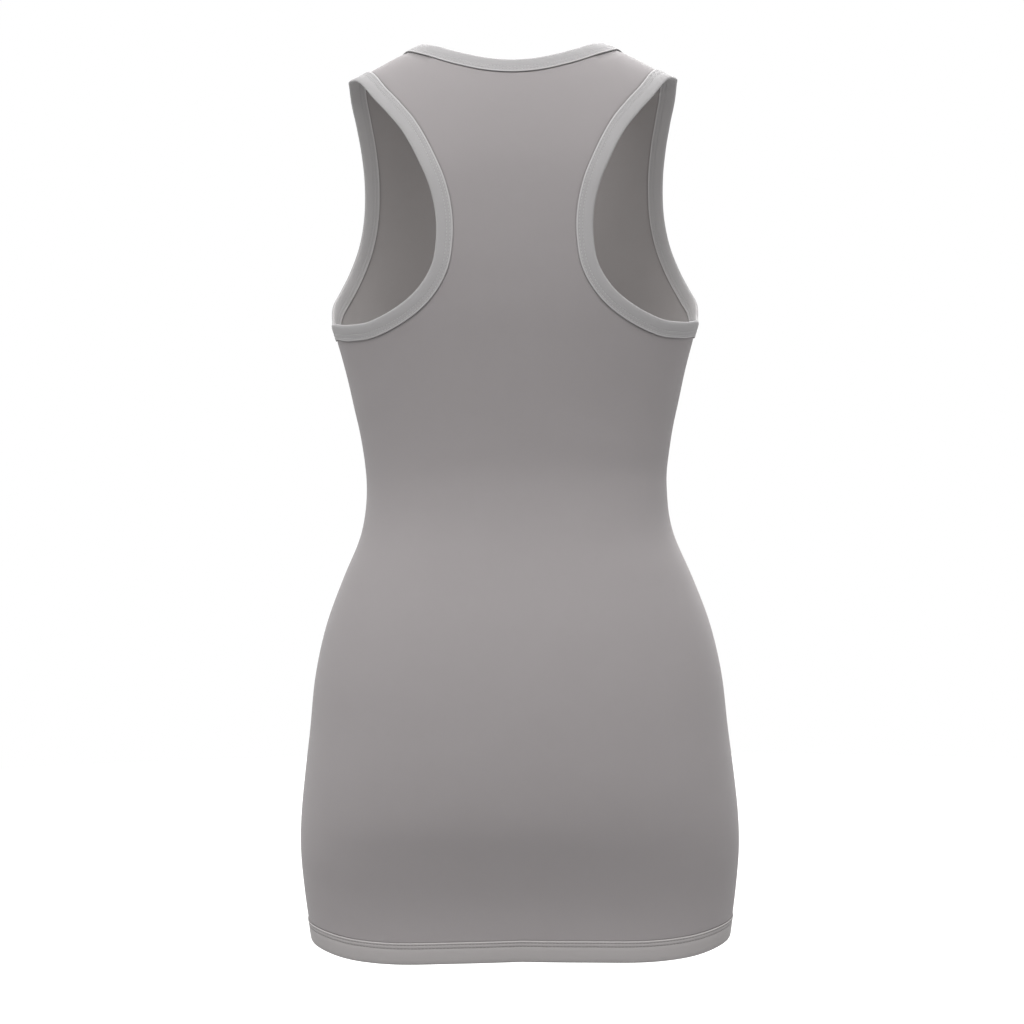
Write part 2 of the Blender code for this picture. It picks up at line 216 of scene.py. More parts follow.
# Folded strips in section: across from the seam towards the free edge, and out from the cloth's
# face. Both plies of a binding are alike, and the hem has its second ply on the inside only.
Strip = namedtuple("Strip", "across out")
BINDING_SECTION = (
    Strip(0.0004, 0.00000),
    Strip(-0.0002, 0.00022),
    Strip(-0.0005, 0.00055),
    Strip(-0.0003, 0.00090),
    Strip(0.0003, 0.00108),
    Strip(0.0010, 0.00106),
    Strip(0.0016, 0.00092),
    Strip(0.0020, 0.00084),
    Strip(0.0024, 0.00090),
    Strip(0.0032, 0.00100),
    Strip(0.0040, 0.00100),
    Strip(0.0046, 0.00090),
    Strip(0.0050, 0.00084),
    Strip(0.0054, 0.00090),
    Strip(0.0064, 0.00100),
    Strip(0.0090, 0.00110),
    Strip(0.0116, 0.00100),
    Strip(0.0130, 0.00072),
    Strip(0.0138, 0.00024),
    Strip(0.0140, -0.00040),
)
HEM_SECTION = (
    Strip(0.0003, -0.00010),
    Strip(-0.0002, 0.00008),
    Strip(-0.0003, 0.00034),
    Strip(0.0002, 0.00062),
    Strip(0.0008, 0.00066),
    Strip(0.0013, 0.00040),
    Strip(0.0016, 0.00016),
    Strip(0.0020, 0.00028),
    Strip(0.0028, 0.00048),
    Strip(0.0038, 0.00040),
    Strip(0.0044, 0.00010),
    Strip(0.0047, -0.00004),
    Strip(0.0051, 0.00010),
    Strip(0.0060, 0.00034),
    Strip(0.0090, 0.00044),
    Strip(0.0140, 0.00040),
    Strip(0.0166, 0.00022),
    Strip(0.0177, -0.00024),
    Strip(0.0180, -0.00080),
    Strip(0.0177, -0.00136),
    Strip(0.0166, -0.00178),
    Strip(0.0140, -0.00196),
    Strip(0.0090, -0.00200),
    Strip(0.0060, -0.00194),
    Strip(0.0030, -0.00190),
    Strip(0.0005, -0.00180),
    Strip(-0.0002, -0.00150),
    Strip(-0.0001, -0.00090),
)
STRIP_STEP = 0.0016
LOOP_WRAP = 3
INNER_FACE = -0.0004
INNER_PLY = -0.0010
PUCKER = 0.00005
PUCKER_WAVES = (0.0093, 0.0151)
PUCKER_MIDDLE = 0.0035
PUCKER_REACH = 0.0030

# Sewing
BINDING_ROWS = (0.0020, 0.0050)
HEM_ROWS = (0.0016, 0.0044)
STITCH = 0.0031
STITCH_GAP = 0.0006
THREAD = 0.00024
THREAD_LIFT = 0.55
LOOPER_LIFT = 0.6


def smooth(at, knots, values):
    """Read a smooth curve through the knots, whose slopes are averaged from both sides."""
    at = np.asarray(at, float)
    knots = np.asarray(knots, float)
    values = np.asarray(values, float)
    steps = np.diff(values) / np.diff(knots)
    slopes = np.concatenate([steps[:1], (steps[1:] + steps[:-1]) / 2, steps[-1:]])
    i = np.clip(np.searchsorted(knots, at) - 1, 0, len(knots) - 2)
    gap = knots[i + 1] - knots[i]
    t = (at - knots[i]) / gap
    start = (2 * t**3 - 3 * t**2 + 1) * values[i] + (t**3 - 2 * t**2 + t) * gap * slopes[i]
    end = (-2 * t**3 + 3 * t**2) * values[i + 1] + (t**3 - t**2) * gap * slopes[i + 1]
    return start + end


HEIGHTS = [section.height for section in SECTIONS]
COLUMNS = {name: [getattr(section, name) for section in SECTIONS] for name in Section._fields}


def section_value(name, height):
    """One dimension of the form's section at a height."""
    return smooth(height, HEIGHTS, COLUMNS[name])


def shoulder_height(x):
    """The height of the shoulder line at x."""
    knots = [point.x for point in SHOULDER_LINE]
    return smooth(np.abs(x), knots, [point.height for point in SHOULDER_LINE])


def depth(side, x, height):
    """How far the form stands out from the plane of the seams, at x and a height."""
    part = "back" if side == BACK else "front"
    width = section_value("half_width", height)
    power = section_value(part + "_power", height)
    across = np.clip(np.abs(x) / width, 0.0, 1.0)
    oval = section_value(part, height) * (1 - across**power) ** (1 / power)
    drop = np.clip((shoulder_height(x) - height) / SHOULDER_ROLL[side], 0.0, 1.0)
    roll = np.sqrt(1 - (1 - drop) ** 2)
    out = oval * roll
    if side == FRONT:
        near = ((np.abs(x) - CHEST.x) / CHEST.wide) ** 2 + ((height - CHEST.height) / CHEST.high) ** 2
        out = out + CHEST.out * np.exp(-near) * (1 - across**power)
    return out


def form_point(side, x, height):
    """A point of the panel's outer face."""
    return (float(x), side * max(float(depth(side, x, height)), 0.0), float(height))


def roll_of(side, x, height):
    """The angle that a point has turned down from the shoulder line, straight on past a quarter."""
    drop = (shoulder_height(x) - height) / SHOULDER_ROLL[side]
    if drop < 1:
        return math.acos(min(1.0, max(0.0, 1 - drop)))
    return math.pi / 2 + drop - 1


def height_of(side, x, roll):
    """The height of a point that has turned down from the shoulder line by this angle."""
    drop = 1 - math.cos(roll) if roll < math.pi / 2 else 1 + roll - math.pi / 2
    return float(shoulder_height(x)) - SHOULDER_ROLL[side] * drop


def rolled_point(side, x, roll):
    """A point of the panel's outer face, from x and the angle turned down from the shoulder."""
    return form_point(side, x, height_of(side, x, roll))


def lengths(points):
    """Running length along a line of points, from 0."""
    steps = np.linalg.norm(np.diff(points, axis=0), axis=1)
    return np.concatenate([[0.0], np.cumsum(steps)])


def walk(side, edge, first, last, shares):
    """Points (x, roll) at shares of the length of a cut edge, from one of its points to another."""
    knots = np.array([(point.x, roll_of(side, point.x, point.height)) for point in edge])
    run = lengths(np.array([rolled_point(side, x, roll) for x, roll in knots]))
    fine = np.linspace(run[first], run[last], CURVE_POINTS)
    line = np.column_stack([smooth(fine, run, knots[:, 0]), smooth(fine, run, knots[:, 1])])
    line[-1] = knots[last]
    done = lengths(np.array([rolled_point(side, x, roll) for x, roll in line]))
    at = np.asarray(shares) * done[-1]
    return np.column_stack([np.interp(at, done, line[:, k]) for k in (0, 1)])


def even(count):
    """Equal steps from 0 to 1."""
    return np.linspace(0.0, 1.0, count + 1)


def bordered(count, length, start=False, end=False):
    """Even shares of a length, with a seam's narrow border at either end. It has count steps."""
    strip = SEAM_BORDER / length
    inner = even(count - start - end)
    inner = start * strip + inner * (1 - (start + end) * strip)
    return np.concatenate([[0.0][:start], inner, [1.0][:end]])


def between(bottom, top, left, right, columns, rows):
    """Fill a patch from its four sides, with its columns and rows at the given shares."""
    u = np.asarray(columns)[None, :, None]
    v = np.asarray(rows)[:, None, None]
    sides = (1 - v) * bottom[None] + v * top[None] + (1 - u) * left[:, None] + u * right[:, None]
    corners = (1 - v) * ((1 - u) * bottom[0] + u * bottom[-1]) + v * ((1 - u) * top[0] + u * top[-1])
    return sides - corners


def quarter(side, height):
    """The section's curve from the centre to the side seam: x values and running lengths."""
    width = float(section_value("half_width", height))
    x = width * np.sin(np.linspace(0.0, math.pi / 2, CURVE_POINTS))
    return x, lengths(np.column_stack([x, depth(side, x, height)]))


def x_at_share(side, height, share):
    """Where a section has run this share of its length from the centre to the side seam."""
    x, run = quarter(side, height)
    return float(np.interp(share * run[-1], run, x))


def share_at_x(side, height, at):
    """The share of its length that a section has run from the centre to x."""
    x, run = quarter(side, height)
    return float(np.interp(at, x, run)) / run[-1]


def body_rows(cut, top, length):
    """Rows from the hem up to the top edge of the body: each column keeps its share of the girth."""
    shares = [share_at_x(cut.side, height, x) for x, height in top[:-1]] + [1.0]
    lifts = smooth(shares, [point.share for point in HEM_LINE], [point.lift for point in HEM_LINE])
    rows = []
    for climb in bordered(BODY_ROWS, length, start=True, end=True):
        heights = [(1 - climb) * (HEM_SEAM + lift) + climb * height
                   for lift, (_, height) in zip(lifts, top)]
        rows.append([form_point(cut.side, x_at_share(cut.side, height, share), height)
                     for share, height in zip(shares, heights)])
    return rows


def raise_rows(mesh, first, points, side):
    """Add rows of vertices above the first, with a face in each square, facing outwards."""
    rows = [first]
    for line in points:
        row = [mesh.verts.new(point) for point in line]
        for i in range(len(row) - 1):
            corners = [rows[-1][i], rows[-1][i + 1], row[i + 1], row[i]]
            mesh.faces.new(corners if side == FRONT else corners[::-1])
        rows.append(row)
    return rows


def half_panel(cut):
    """The left half of a panel, and its vertices along the neck, armhole and hem."""
    side = cut.side
    centre = Edge(-cut.neck[-2].x, cut.neck[-2].height)
    neck = cut.neck + (centre,)
    side_x = float(section_value("half_width", UNDERARM))
    armhole = cut.armhole + (Edge(side_x, UNDERARM),)
    last = len(armhole) - 1

    outer_shares = bordered(cut.outer, UNDERARM_REACH[side], end=True)
    outer = walk(side, armhole, cut.body_turn, last, outer_shares)
    turn_x, turn_roll = outer[0]
    turn_height = height_of(side, turn_x, turn_roll)
    turn_share = share_at_x(side, turn_height, turn_x)
    count = cut.inner + cut.strap
    columns = bordered(count, float(turn_x), end=True)
    top = [(x_at_share(side, turn_height, share * turn_share), turn_height)
           for share in columns[:-1]]
    top += [(x, height_of(side, x, roll)) for x, roll in outer[:-1]] + [(side_x, UNDERARM)]

    mesh = bmesh.new()
    points = body_rows(cut, top, turn_height - HEM_SEAM)
    hem = [mesh.verts.new(point) for point in points[0]]
    body = raise_rows(mesh, hem, points[1:], side)

    climb = bordered(cut.yoke_rows, YOKE_LENGTH, end=True)
    bottom = np.array([(x, roll_of(side, x, height)) for x, height in top[:count + 1]])
    along_neck = walk(side, neck, cut.neck_turn, len(cut.neck) - 1, even(cut.inner))[::-1]
    neck_end = along_neck[-1]
    arm_side = walk(side, armhole, cut.strap_turn, cut.body_turn, 1 - climb[::-1])[::-1]
    across_shares = bordered(cut.strap, STRAP_FOOT, end=True)
    across = neck_end + (arm_side[-1] - neck_end) * across_shares[1:, None]
    centre_line = bottom[0] + (along_neck[0] - bottom[0]) * climb[:, None]
    yoke = between(bottom, np.vstack([along_neck, across]), centre_line, arm_side, columns, climb)
    rows = [[rolled_point(side, x, roll) for x, roll in row] for row in yoke[1:]]
    yoke_rows = raise_rows(mesh, body[-1][:count + 1], rows, side)

    climb = bordered(cut.strap_rows, STRAP_LENGTH, end=True)
    neck_side = walk(side, neck, 0, cut.neck_turn, 1 - climb[::-1])[::-1]
    arm_side = walk(side, armhole, 0, cut.strap_turn, 1 - climb[::-1])[::-1]
    strap_shares = bordered(cut.strap, STRAP_TOP, end=True)
    seam_x = NECK_POINT + (SHOULDER_POINT - NECK_POINT) * strap_shares
    seam = np.column_stack([seam_x, np.zeros(cut.strap + 1)])
    strap = between(np.vstack([neck_end[None], across]), seam, neck_side, arm_side, strap_shares, climb)
    rows = [[rolled_point(side, x, roll) for x, roll in row] for row in strap[1:]]
    strap_rows = raise_rows(mesh, yoke_rows[-1][cut.inner:], rows, side)

    neck_line = yoke_rows[-1][:cut.inner] + [row[0] for row in strap_rows]
    arm_line = [row[-1] for row in strap_rows[::-1]] + [row[-1] for row in yoke_rows[-2::-1]]
    arm_line += body[-1][count + 1:]
    return mesh, neck_line, arm_line, hem


def crease_height(creases, x, height):
    """How far soft creases lift the cloth at a point."""
    lift = 0.0
    for crease in creases:
        turn = math.radians(crease.turn)
        right, up = x - crease.x, height - crease.height
        along = right * math.cos(turn) + up * math.sin(turn)
        bow = CREASE_BOW * along * along / crease.length
        over = -right * math.sin(turn) + up * math.cos(turn) - bow
        near = (along / crease.length) ** 2 + (over / crease.width) ** 2
        lift += crease.out * math.exp(-near) * (1 - CREASE_HOLLOW * (over / crease.width) ** 2)
    return lift


Panel = namedtuple("Panel", "mesh neck arm hem twins")


def whole_panel(cut, creases):
    """A whole panel: both halves, each with its own soft creases."""
    mesh, neck, arm, hem = half_panel(cut)
    twins = {}
    for vertex in list(mesh.verts):
        on_centre = vertex.co.x < ON_CENTRE
        twins[vertex] = vertex if on_centre else mesh.verts.new(vertex.co * Vector((-1, 1, 1)))
    for face in list(mesh.faces):
        mesh.faces.new([twins[vertex] for vertex in reversed(face.verts[:])])
    mesh.normal_update()
    moves = [vertex.normal * crease_height(creases, vertex.co.x, vertex.co.z) for vertex in mesh.verts]
    for vertex, move in zip(mesh.verts, moves):
        if abs(vertex.co.x) > ON_CENTRE:
            vertex.co += move
        else:
            vertex.co.y += move.y
            vertex.co.z += move.z
    mesh.normal_update()
    return Panel(mesh, neck, arm, hem, twins)


Station = namedtuple("Station", "point normal ease")


def stations(line):
    """Where a strip is sewn on: the edge's points and the directions out of the cloth."""
    return [Station(vertex.co.copy(), vertex.normal.copy(), 1.0) for vertex in line]


def joined(first, second):
    """One station in the middle of a seam, from the stations of the two panels beside it."""
    return Station((first.point + second.point) / 2, (first.normal + second.normal).normalized(), 1.0)


def eased(line):
    """The same stations, where the strip lies unstretched and so wider as it crosses the shoulder."""
    reach = [math.hypot(station.point.y, station.point.z - line[0].point.z) for station in line]
    near = [max(0.0, 1 - (distance / EASE_REACH) ** 2) for distance in reach]
    return [station._replace(ease=1 + SHOULDER_EASE * share) for station, share in zip(line, near)]


Track = namedtuple("Track", "run point along away out ease")


def track(line, step):
    """Even places along a closed line of stations, with the directions of a strip sewn there."""
    looped = line[-LOOP_WRAP:] + line + line[:LOOP_WRAP + 1]
    places = np.array([[*station.point, *station.normal, station.ease] for station in looped])
    run = lengths(places[:, :3])
    run -= run[LOOP_WRAP]
    total = run[LOOP_WRAP + len(line)]
    count = round(total / step)
    at = np.arange(count) * total / count
    fine = np.column_stack([smooth(at, run, places[:, k]) for k in range(7)])
    point, normal, ease = fine[:, :3], fine[:, 3:6], fine[:, 6]
    along = np.roll(point, -1, axis=0) - np.roll(point, 1, axis=0)
    along /= np.linalg.norm(along, axis=1)[:, None]
    away = np.cross(along, normal)
    away /= np.linalg.norm(away, axis=1)[:, None]
    return Track(np.append(at, total), point, along, away, np.cross(away, along), ease)


def strip_places(path, at, across, out):
    """Points on a strip: lengths along it, across from its seam and out from the cloth's face."""
    total = path.run[-1]
    at = np.mod(at, total)

    def read(values):
        return np.column_stack(
            [np.interp(at, path.run, np.append(values[:, k], values[0, k])) for k in range(3)])

    ease = np.interp(at, path.run, np.append(path.ease, path.ease[0]))
    away, normal, along = read(path.away), read(path.out), read(path.along)
    reach = across * ease
    place = read(path.point) + away * reach[:, None] + normal * np.reshape(out, (-1, 1))
    return place, along, away, normal


def new_piece(name, mesh, finish):
    """An object at the origin from a mesh under construction, with one material."""
    data = bpy.data.meshes.new(name)
    mesh.to_mesh(data)
    mesh.free()
    data.materials.append(finish)
    data.shade_smooth()
    piece = bpy.data.objects.new(name, data)
    bpy.context.scene.collection.objects.link(piece)
    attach(piece, "root")
    return piece


def cloth_piece(name, side, mesh, finish, wrong_side):
    """A panel's cloth: laid out flat for its knit, tucked in at its seams, with a thin wall."""
    seam = mesh.verts.layers.float.new("seam")
    layout = mesh.loops.layers.uv.new("Cloth")
    edge = [vertex for vertex in mesh.verts if vertex.is_boundary]
    flat = {}
    for vertex in mesh.verts:
        x, height = vertex.co.x, vertex.co.z
        girth, run = quarter(side, height)
        across = math.copysign(float(np.interp(abs(x), girth, run)), x)
        flat[vertex] = (across, -SHOULDER_ROLL[side] * roll_of(side, x, height))
    for face in mesh.faces:
        for loop in face.loops:
            loop[layout].uv = flat[loop.vert]
    # The seam attribute marks the cut edges for the painted shadow where the cloth tucks under a strip;
    # the hem's edge gets only a share of it
    for vertex in edge:
        at_hem = vertex.co.z < HEM_SEAM + HEM_REACH
        vertex[seam] = HEM_SEAM_SHADE_SHARE if at_hem else 1.0
        vertex.co -= vertex.normal * (HEM_PINCH_SHARE if at_hem else 1.0) * SEAM_PINCH
        if vertex.co.y * side < 0:
            vertex.co.y = 0.0
    piece = new_piece(name, mesh, finish)
    piece.data.materials.append(wrong_side)
    round_off = piece.modifiers.new("Round off", "SUBSURF")
    round_off.levels = 1
    round_off.render_levels = 1
    round_off.boundary_smooth = "PRESERVE_CORNERS"
    wall = piece.modifiers.new("Wall", "SOLIDIFY")
    wall.thickness = WALL
    wall.offset = -1
    wall.material_offset = 1
    return piece


def strip_piece(name, path, section, finish, inner_finish):
    """A folded strip swept along its track, slightly puckered, with its own finish inside."""
    mesh = bmesh.new()
    layout = mesh.loops.layers.uv.new("Cloth")
    count = len(path.point)
    run = path.run[:-1]
    short, long = PUCKER_WAVES
    pucker = 0.5 * np.sin(run * 2 * math.pi / short) + 0.5 * np.sin(run * 2 * math.pi / long + 1.0)
    rings = []
    for i in range(count):
        ring = []
        for corner in section:
            near_rows = math.exp(-((corner.across - PUCKER_MIDDLE) / PUCKER_REACH) ** 2)
            ripple = PUCKER * pucker[i] * near_rows * (1 if corner.out > INNER_FACE else -1)
            reach = corner.across * path.ease[i]
            place = path.point[i] + path.away[i] * reach + path.out[i] * (corner.out + ripple)
            ring.append(mesh.verts.new(place))
        rings.append(ring)
    corners = len(section)
    for i in range(count):
        following = rings[(i + 1) % count]
        for k in range(corners):
            j = (k + 1) % corners
            face = mesh.faces.new([rings[i][k], following[k], following[j], rings[i][j]])
            face.material_index = int(max(section[k].out, section[j].out) < INNER_PLY)
            uvs = ((k, i), (k, i + 1), (j, i + 1), (j, i))
            for loop, (corner, station) in zip(face.loops, uvs):
                loop[layout].uv = (section[corner].across, path.run[station])
    bmesh.ops.recalc_face_normals(mesh, faces=mesh.faces)
    piece = new_piece(name, mesh, finish)
    piece.data.materials.append(inner_finish)
    return piece


# One stitch of thread: rings along it, each with a share of the half length, thickness and dip
Ring = namedtuple("Ring", "along thick dip")
STITCH_RINGS = (
    Ring(-1.00, 0.45, 1.10),
    Ring(-0.62, 1.00, 0.15),
    Ring(0.62, 1.00, 0.15),
    Ring(1.00, 0.45, 1.10),
)
THREAD_SIDES = 5


def thread_piece(name, runs, finish):
    """Stitches as short threads, from (start, end, out) triples of arrays."""
    turns = np.arange(THREAD_SIDES) * 2 * math.pi / THREAD_SIDES
    verts, faces = [], []
    for start, end, out in runs:
        middle, half = (start + end) / 2, (end - start) / 2
        along = half / np.linalg.norm(half, axis=1)[:, None]
        beside = np.cross(out, along)
        beside /= np.linalg.norm(beside, axis=1)[:, None]
        out = np.cross(along, beside)
        for i in range(len(middle)):
            first = len(verts)
            for ring in STITCH_RINGS:
                heart = middle[i] + half[i] * ring.along - out[i] * THREAD * ring.dip
                for turn in turns:
                    spoke = beside[i] * math.cos(turn) + out[i] * math.sin(turn)
                    verts.append(heart + spoke * THREAD * ring.thick)
            for r in range(len(STITCH_RINGS) - 1):
                for k in range(THREAD_SIDES):
                    a, b = first + r * THREAD_SIDES, first + (r + 1) * THREAD_SIDES
                    n = (k + 1) % THREAD_SIDES
                    faces.append((a + k, a + n, b + n, b + k))
            tail = first + (len(STITCH_RINGS) - 1) * THREAD_SIDES
            faces.append(tuple(range(first + THREAD_SIDES - 1, first - 1, -1)))
            faces.append(tuple(range(tail, tail + THREAD_SIDES)))
    data = bpy.data.meshes.new(name)
    data.from_pydata([tuple(map(float, vert)) for vert in verts], [], faces)
    data.materials.append(finish)
    data.shade_smooth()
    piece = bpy.data.objects.new(name, data)
    bpy.context.scene.collection.objects.link(piece)
    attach(piece, "root")
    return piece


def face_out(section, across, inside):
    """How far a strip's face stands out at a distance across it."""
    half = [corner for corner in section if (corner.out < INNER_FACE) == inside]
    half = sorted(half, key=lambda corner: corner.across)
    return float(np.interp(across, [c.across for c in half], [c.out for c in half]))


def stitch_row(path, section, across, inside=False):
    """A row of straight stitches on one face of a strip."""
    count = round(path.run[-1] / STITCH)
    pitch = path.run[-1] / count
    at = np.arange(count) * pitch
    lift = face_out(section, across, inside) + (-1 if inside else 1) * THREAD * THREAD_LIFT
    start, _, _, out = strip_places(path, at + STITCH_GAP / 2, across, np.full(count, lift))
    end = strip_places(path, at + pitch - STITCH_GAP / 2, across, np.full(count, lift))[0]
    return start, end, -out if inside else out


def looper_threads(path, section, rows):
    """The zigzag of thread that joins two rows of stitches on the inside of the hem."""
    count = round(path.run[-1] / STITCH)
    pitch = path.run[-1] / count
    at = np.arange(count) * pitch
    lifts = [face_out(section, across, True) - THREAD * LOOPER_LIFT for across in rows]
    low, _, _, out = strip_places(path, at, rows[0], np.full(count, lifts[0]))
    high = strip_places(path, at + pitch / 2, rows[1], np.full(count, lifts[1]))[0]
    following = strip_places(path, at + pitch, rows[0], np.full(count, lifts[0]))[0]
    return [(low, high, -out), (high, following, -out)]


# Finishes: how dark the painted shade in a loop's hollow, in a stitched channel and along a seam,
# where the cloth tucks under a strip, is against the knit, how strongly the channel's painted shade
# and the painted highlight on the rounded fold beside a seam show, and how light that highlight is
HOLLOW_SHADE = 0.35
CHANNEL_SHADE = 0.30
SEAM_SHADE = 0.22
CHANNEL_SHADE_STRENGTH = 0.09
FOLD_HIGHLIGHT_STRENGTH = 0.60
FOLD_HIGHLIGHT_LIGHTNESS = 1.35
FOLD_EDGE = 0.0002
FOLD_REACH = 0.0011
# How strongly the painted seam shadow shows on the cloth's right side and on its wrong side
RIGHT_SIDE_SEAM_SHADE = 0.28
WRONG_SIDE_SEAM_SHADE = 0.50


def node_group(name, inputs, outputs):
    """An empty shader group with named sockets."""
    group = bpy.data.node_groups.new(name, "ShaderNodeTree")
    for label, kind, value in inputs:
        socket = group.interface.new_socket(name=label, in_out="INPUT", socket_type=kind)
        if value is not None:
            socket.default_value = value
    for label, kind in outputs:
        group.interface.new_socket(name=label, in_out="OUTPUT", socket_type=kind)
    given = group.nodes.new("NodeGroupInput")
    result = group.nodes.new("NodeGroupOutput")
    return group, given, result


def math_node(tree, operation, first, second=None, third=None):
    """A math node on sockets or plain numbers, and its result."""
    node = tree.nodes.new("ShaderNodeMath")
    node.operation = operation
    for socket, value in zip(node.inputs, (first, second, third)):
        if value is None:
            continue
        if isinstance(value, (int, float)):
            socket.default_value = value
        else:
            tree.links.new(value, socket)
    return node.outputs[0]


def knit_loops_group():
    """Rows of small knitted loops, read from the cloth's own layout in metres."""
    group, given, result = node_group(
        "Knit loops",
        [("Place", "NodeSocketVector", None), ("Wale", "NodeSocketFloat", 0.0009),
         ("Course", "NodeSocketFloat", 0.0007)],
        [("Height", "NodeSocketFloat"), ("Hollow", "NodeSocketFloat")])
    split = group.nodes.new("ShaderNodeSeparateXYZ")
    group.links.new(given.outputs["Place"], split.inputs[0])
    wale = math_node(group, "DIVIDE", split.outputs["X"], given.outputs["Wale"])
    course = math_node(group, "DIVIDE", split.outputs["Y"], given.outputs["Course"])
    off_middle = math_node(group, "ABSOLUTE", math_node(group, "SUBTRACT",
                           math_node(group, "FRACT", wale), 0.5))
    leg = math_node(group, "SINE", math_node(group, "MULTIPLY", off_middle, 2 * math.pi))
    slant = math_node(group, "MULTIPLY", math_node(group, "ADD", course, off_middle), 2 * math.pi)
    bead = math_node(group, "MULTIPLY_ADD", math_node(group, "SINE", slant), 0.35, 0.65)
    height = math_node(group, "MULTIPLY", leg, bead)
    group.links.new(height, result.inputs["Height"])
    hollow = math_node(group, "SUBTRACT", 1.0, height)
    group.links.new(hollow, result.inputs["Hollow"])
    return group


def soft_tone_group():
    """Broad soft changes of tone and fine fibres, read from the place on the object."""
    group, given, result = node_group(
        "Soft tone",
        [("Place", "NodeSocketVector", None), ("Broad", "NodeSocketFloat", 9.0),
         ("Fine", "NodeSocketFloat", 900.0)],
        [("Tone", "NodeSocketFloat"), ("Fibre", "NodeSocketFloat")])
    broad = group.nodes.new("ShaderNodeTexNoise")
    broad.inputs["Detail"].default_value = 3.0
    broad.inputs["Roughness"].default_value = 0.55
    fine = group.nodes.new("ShaderNodeTexNoise")
    fine.inputs["Detail"].default_value = 2.0
    for noise, scale in ((broad, "Broad"), (fine, "Fine")):
        group.links.new(given.outputs["Place"], noise.inputs["Vector"])
        group.links.new(given.outputs[scale], noise.inputs["Scale"])
    tone = math_node(group, "MULTIPLY_ADD", fine.outputs["Fac"], 0.35,
                     math_node(group, "MULTIPLY", broad.outputs["Fac"], 0.65))
    group.links.new(tone, result.inputs["Tone"])
    group.links.new(fine.outputs["Fac"], result.inputs["Fibre"])
    return group


def stitch_channel_group():
    """How near a strip's surface is to either row of stitches, from its distance across."""
    group, given, result = node_group(
        "Stitch channel",
        [("Place", "NodeSocketVector", None), ("First row", "NodeSocketFloat", 0.002),
         ("Second row", "NodeSocketFloat", 0.005), ("Reach", "NodeSocketFloat", 0.0006)],
        [("Near", "NodeSocketFloat")])
    split = group.nodes.new("ShaderNodeSeparateXYZ")
    group.links.new(given.outputs["Place"], split.inputs[0])
    near = []
    for row in ("First row", "Second row"):
        off = math_node(group, "ABSOLUTE",
                        math_node(group, "SUBTRACT", split.outputs["X"], given.outputs[row]))
        share = math_node(group, "DIVIDE", off, given.outputs["Reach"])
        near.append(math_node(group, "MAXIMUM", math_node(group, "SUBTRACT", 1.0, share), 0.0))
    group.links.new(math_node(group, "MAXIMUM", near[0], near[1]), result.inputs["Near"])
    return group


KNIT_LOOPS = knit_loops_group()
SOFT_TONE = soft_tone_group()
STITCH_CHANNEL = stitch_channel_group()


def place_group(tree, group, source, **values):
    """A shader group in a material, fed with a place and its own values."""
    node = tree.nodes.new("ShaderNodeGroup")
    node.node_tree = group
    tree.links.new(source, node.inputs["Place"])
    for name, value in values.items():
        node.inputs[name.replace("_", " ")].default_value = value
    return node


def mix_colour(tree, factor, first, second, blend="MIX"):
    """A colour mix on a socket's factor, and its result."""
    node = tree.nodes.new("ShaderNodeMix")
    node.data_type = "RGBA"
    node.blend_type = blend
    tree.links.new(factor, node.inputs["Factor"])
    for label, value in (("A", first), ("B", second)):
        socket = next(s for s in node.inputs if s.name == label and s.type == "RGBA")
        if isinstance(value, tuple):
            socket.default_value = (*value, 1.0)
        else:
            tree.links.new(value, socket)
    return next(s for s in node.outputs if s.type == "RGBA")


# A look: its two base colours, how strong the painted shade in its loops' hollows is, roughness, sheen,
# the sizes of its loops, bump, and how far light passes into it
Look = namedtuple("Look", "dark light hollow rough sheen wale course bump through")


def scaled(colour, share):
    """A colour made darker or lighter."""
    return tuple(share * value for value in colour)


